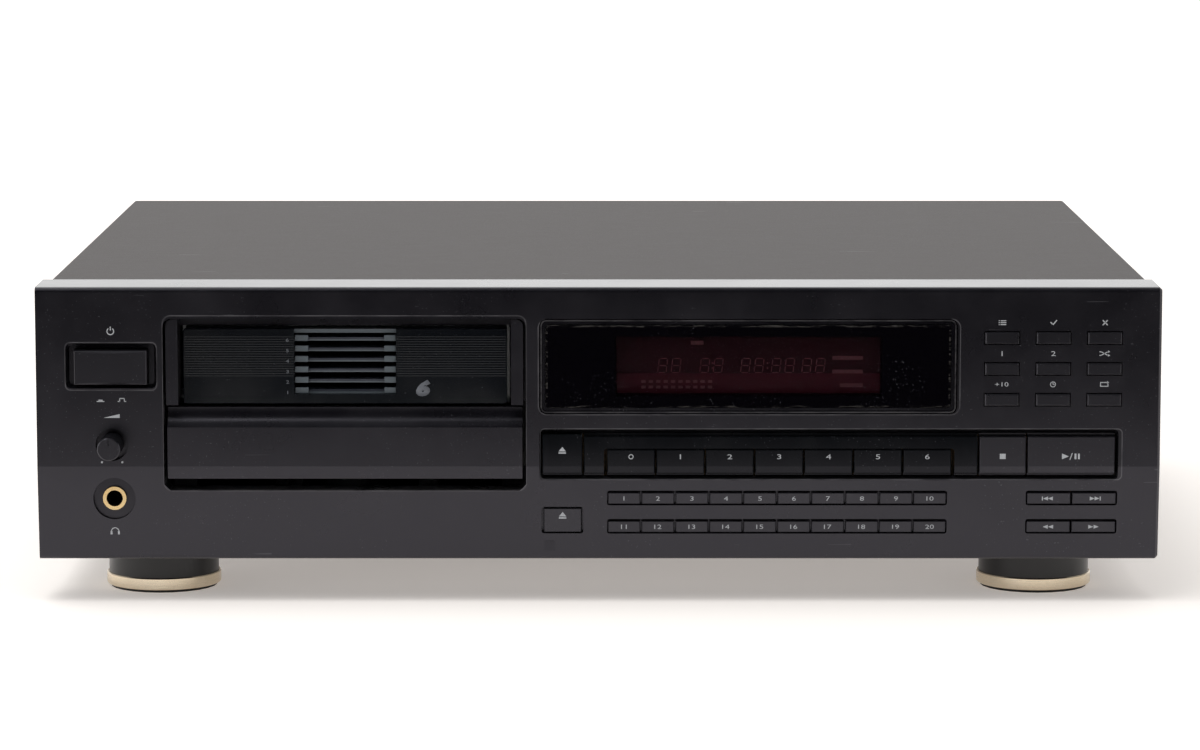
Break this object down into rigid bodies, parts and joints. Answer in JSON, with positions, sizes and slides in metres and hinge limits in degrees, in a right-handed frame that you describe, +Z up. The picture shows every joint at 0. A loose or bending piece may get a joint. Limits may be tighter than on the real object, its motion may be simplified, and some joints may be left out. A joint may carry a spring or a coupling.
{
  "type": "multi disc cd changer",
  "caption": "Full-width disc changer with a disc magazine above a single-disc drawer, a wide display window, rows of keys, a turning level knob and round ringed feet.",
  "frame": {"origin": "on the surface it stands on, under the middle of the whole object, level knob and rear sockets included", "axes": "+X to the right seen from the front, the front faces -Y, +Z up"},
  "size_m": [0.44, 0.381, 0.1251],
  "materials": {
    "panel_plastic": "satin black moulded front",
    "cover_steel": "fine textured black paint",
    "key_plastic": "satin black moulded keys",
    "smoked_front": "smoked gloss",
    "display_pane": "polished smoked acrylic",
    "magazine_plastic": "satin black",
    "tray_plastic": "satin black",
    "loader_plastic": "matt dark grey",
    "zinc_steel": "zinc plated",
    "black_steel": "black paint",
    "board_green": "solder mask",
    "board_brown": "phenolic",
    "tube_glass": "glass behind a red filter",
    "jack_gold": "gold plated",
    "jack_black": "matt black",
    "foot_plastic": "satin black",
    "ring_gold": "champagne gold plating",
    "foot_rubber": "matt",
    "screw_black": "black oxide",
    "gear_white": "natural acetal",
    "core_iron": "varnished laminations"
  },
  "bodies": {
    "root": {"front_panel": "panel_plastic", "control_bezel": "key_plastic", "display_bezel": "panel_plastic", "display_window": "display_pane", "display_tube": "tube_glass", "front_board": "board_brown", "left_board": "board_brown", "jack_bush": "jack_gold", "headphone_socket": "jack_black", "magazine_surround": "panel_plastic", "loader_frame": "loader_plastic", "magazine_cage": "zinc_steel", "pickup_unit": "zinc_steel", "bottom_chassis": "zinc_steel", "main_board": "board_green", "transformer": "core_iron", "top_cover": "cover_steel", "rear_panel": "black_steel", "output_sockets": "jack_black", "cord_gland": "jack_black", "case_screws": "screw_black", "foot_bodies": "foot_plastic", "foot_rings": "ring_gold", "foot_pads": "foot_rubber"},
    "drawer": {"drawer_front": "panel_plastic", "disc_tray": "tray_plastic"},
    "magazine": {"magazine_front": "smoked_front", "magazine_case": "magazine_plastic", "magazine_trays": "magazine_plastic"},
    "pinion": {"loading_pinion": "gear_white"},
    "platter": {"turntable": "loader_plastic"},
    "sled": {"laser_sled": "loader_plastic"},
    "knob": {"level_knob": "key_plastic"},
    "power": {"power_button": "key_plastic"},
    "eject_button_body": {"eject_button": "key_plastic"},
    "stop_button_body": {"stop_button": "key_plastic"},
    "play_pause_button_body": {"play_pause_button": "key_plastic"},
    "single_play_key_body": {"single_play_key": "key_plastic"},
    "disc_1_key_body": {"disc_1_key": "key_plastic"},
    "disc_2_key_body": {"disc_2_key": "key_plastic"},
    "disc_3_key_body": {"disc_3_key": "key_plastic"},
    "disc_4_key_body": {"disc_4_key": "key_plastic"},
    "disc_5_key_body": {"disc_5_key": "key_plastic"},
    "disc_6_key_body": {"disc_6_key": "key_plastic"},
    "number_keys_1_to_10_body": {"number_keys_1_to_10": "key_plastic"},
    "number_keys_11_to_20_body": {"number_keys_11_to_20": "key_plastic"},
    "skip_back_key_body": {"skip_back_key": "key_plastic"},
    "skip_forward_key_body": {"skip_forward_key": "key_plastic"},
    "search_back_key_body": {"search_back_key": "key_plastic"},
    "search_forward_key_body": {"search_forward_key": "key_plastic"},
    "open_close_button_body": {"open_close_button": "key_plastic"},
    "program_key_body": {"program_key": "key_plastic"},
    "check_key_body": {"check_key": "key_plastic"},
    "clear_key_body": {"clear_key": "key_plastic"},
    "edit_1_key_body": {"edit_1_key": "key_plastic"},
    "edit_2_key_body": {"edit_2_key": "key_plastic"},
    "random_key_body": {"random_key": "key_plastic"},
    "plus_10_key_body": {"plus_10_key": "key_plastic"},
    "time_key_body": {"time_key": "key_plastic"},
    "repeat_key_body": {"repeat_key": "key_plastic"}
  },
  "joints": [
    {"name": "drawer_slide", "type": "slide", "parent": "root", "child": "drawer", "axis": [0, -1, 0], "range_m": [0, 0.138]},
    {"name": "magazine_slide", "type": "slide", "parent": "root", "child": "magazine", "axis": [0, -1, 0], "range_m": [0, 0.06]},
    {"name": "pinion_spin", "type": "hinge", "parent": "root", "child": "pinion", "pos_m": [-0.0554, -0.1435, 0.05], "axis": [0, 0, 1], "range_deg": [0, 658.9]},
    {"name": "platter_spin", "type": "hinge", "parent": "root", "child": "platter", "pos_m": [-0.0994, -0.0995, 0.06], "axis": [0, 0, 1], "continuous": true},
    {"name": "sled_slide", "type": "slide", "parent": "root", "child": "sled", "axis": [0, 1, 0], "range_m": [0, 0.034]},
    {"name": "level_turn", "type": "hinge", "parent": "root", "child": "knob", "pos_m": [-0.19065, -0.1775, 0.0631], "axis": [0, -1, 0], "range_deg": [-150, 150]},
    {"name": "power_press", "type": "slide", "parent": "root", "child": "power", "axis": [0, 1, 0], "range_m": [0, 0.0025], "stiffness_N_per_m": 300},
    {"name": "eject_press", "type": "slide", "parent": "root", "child": "eject_button_body", "axis": [0, 1, 0], "range_m": [0, 0.0008], "stiffness_N_per_m": 400},
    {"name": "stop_press", "type": "slide", "parent": "root", "child": "stop_button_body", "axis": [0, 1, 0], "range_m": [0, 0.0008], "stiffness_N_per_m": 400},
    {"name": "play_pause_press", "type": "slide", "parent": "root", "child": "play_pause_button_body", "axis": [0, 1, 0], "range_m": [0, 0.0008], "stiffness_N_per_m": 400},
    {"name": "single_play_press", "type": "slide", "parent": "root", "child": "single_play_key_body", "axis": [0, 1, 0], "range_m": [0, 0.0008], "stiffness_N_per_m": 400},
    {"name": "disc_1_press", "type": "slide", "parent": "root", "child": "disc_1_key_body", "axis": [0, 1, 0], "range_m": [0, 0.0008], "stiffness_N_per_m": 400},
    {"name": "disc_2_press", "type": "slide", "parent": "root", "child": "disc_2_key_body", "axis": [0, 1, 0], "range_m": [0, 0.0008], "stiffness_N_per_m": 400},
    {"name": "disc_3_press", "type": "slide", "parent": "root", "child": "disc_3_key_body", "axis": [0, 1, 0], "range_m": [0, 0.0008], "stiffness_N_per_m": 400},
    {"name": "disc_4_press", "type": "slide", "parent": "root", "child": "disc_4_key_body", "axis": [0, 1, 0], "range_m": [0, 0.0008], "stiffness_N_per_m": 400},
    {"name": "disc_5_press", "type": "slide", "parent": "root", "child": "disc_5_key_body", "axis": [0, 1, 0], "range_m": [0, 0.0008], "stiffness_N_per_m": 400},
    {"name": "disc_6_press", "type": "slide", "parent": "root", "child": "disc_6_key_body", "axis": [0, 1, 0], "range_m": [0, 0.0008], "stiffness_N_per_m": 400},
    {"name": "numbers_1_to_10_press", "type": "slide", "parent": "root", "child": "number_keys_1_to_10_body", "axis": [0, 1, 0], "range_m": [0, 0.0008], "stiffness_N_per_m": 400},
    {"name": "numbers_11_to_20_press", "type": "slide", "parent": "root", "child": "number_keys_11_to_20_body", "axis": [0, 1, 0], "range_m": [0, 0.0008], "stiffness_N_per_m": 400},
    {"name": "skip_back_press", "type": "slide", "parent": "root", "child": "skip_back_key_body", "axis": [0, 1, 0], "range_m": [0, 0.0008], "stiffness_N_per_m": 400},
    {"name": "skip_forward_press", "type": "slide", "parent": "root", "child": "skip_forward_key_body", "axis": [0, 1, 0], "range_m": [0, 0.0008], "stiffness_N_per_m": 400},
    {"name": "search_back_press", "type": "slide", "parent": "root", "child": "search_back_key_body", "axis": [0, 1, 0], "range_m": [0, 0.0008], "stiffness_N_per_m": 400},
    {"name": "search_forward_press", "type": "slide", "parent": "root", "child": "search_forward_key_body", "axis": [0, 1, 0], "range_m": [0, 0.0008], "stiffness_N_per_m": 400},
    {"name": "open_close_press", "type": "slide", "parent": "root", "child": "open_close_button_body", "axis": [0, 1, 0], "range_m": [0, 0.0008], "stiffness_N_per_m": 400},
    {"name": "program_press", "type": "slide", "parent": "root", "child": "program_key_body", "axis": [0, 1, 0], "range_m": [0, 0.0008], "stiffness_N_per_m": 400},
    {"name": "check_press", "type": "slide", "parent": "root", "child": "check_key_body", "axis": [0, 1, 0], "range_m": [0, 0.0008], "stiffness_N_per_m": 400},
    {"name": "clear_press", "type": "slide", "parent": "root", "child": "clear_key_body", "axis": [0, 1, 0], "range_m": [0, 0.0008], "stiffness_N_per_m": 400},
    {"name": "edit_1_press", "type": "slide", "parent": "root", "child": "edit_1_key_body", "axis": [0, 1, 0], "range_m": [0, 0.0008], "stiffness_N_per_m": 400},
    {"name": "edit_2_press", "type": "slide", "parent": "root", "child": "edit_2_key_body", "axis": [0, 1, 0], "range_m": [0, 0.0008], "stiffness_N_per_m": 400},
    {"name": "random_press", "type": "slide", "parent": "root", "child": "random_key_body", "axis": [0, 1, 0], "range_m": [0, 0.0008], "stiffness_N_per_m": 400},
    {"name": "plus_10_press", "type": "slide", "parent": "root", "child": "plus_10_key_body", "axis": [0, 1, 0], "range_m": [0, 0.0008], "stiffness_N_per_m": 400},
    {"name": "time_press", "type": "slide", "parent": "root", "child": "time_key_body", "axis": [0, 1, 0], "range_m": [0, 0.0008], "stiffness_N_per_m": 400},
    {"name": "repeat_press", "type": "slide", "parent": "root", "child": "repeat_key_body", "axis": [0, 1, 0], "range_m": [0, 0.0008], "stiffness_N_per_m": 400}
  ],
  "couplings": [
    {"joint": "pinion_spin", "follows": "drawer_slide", "rad_per_m": 83.333}
  ]
}
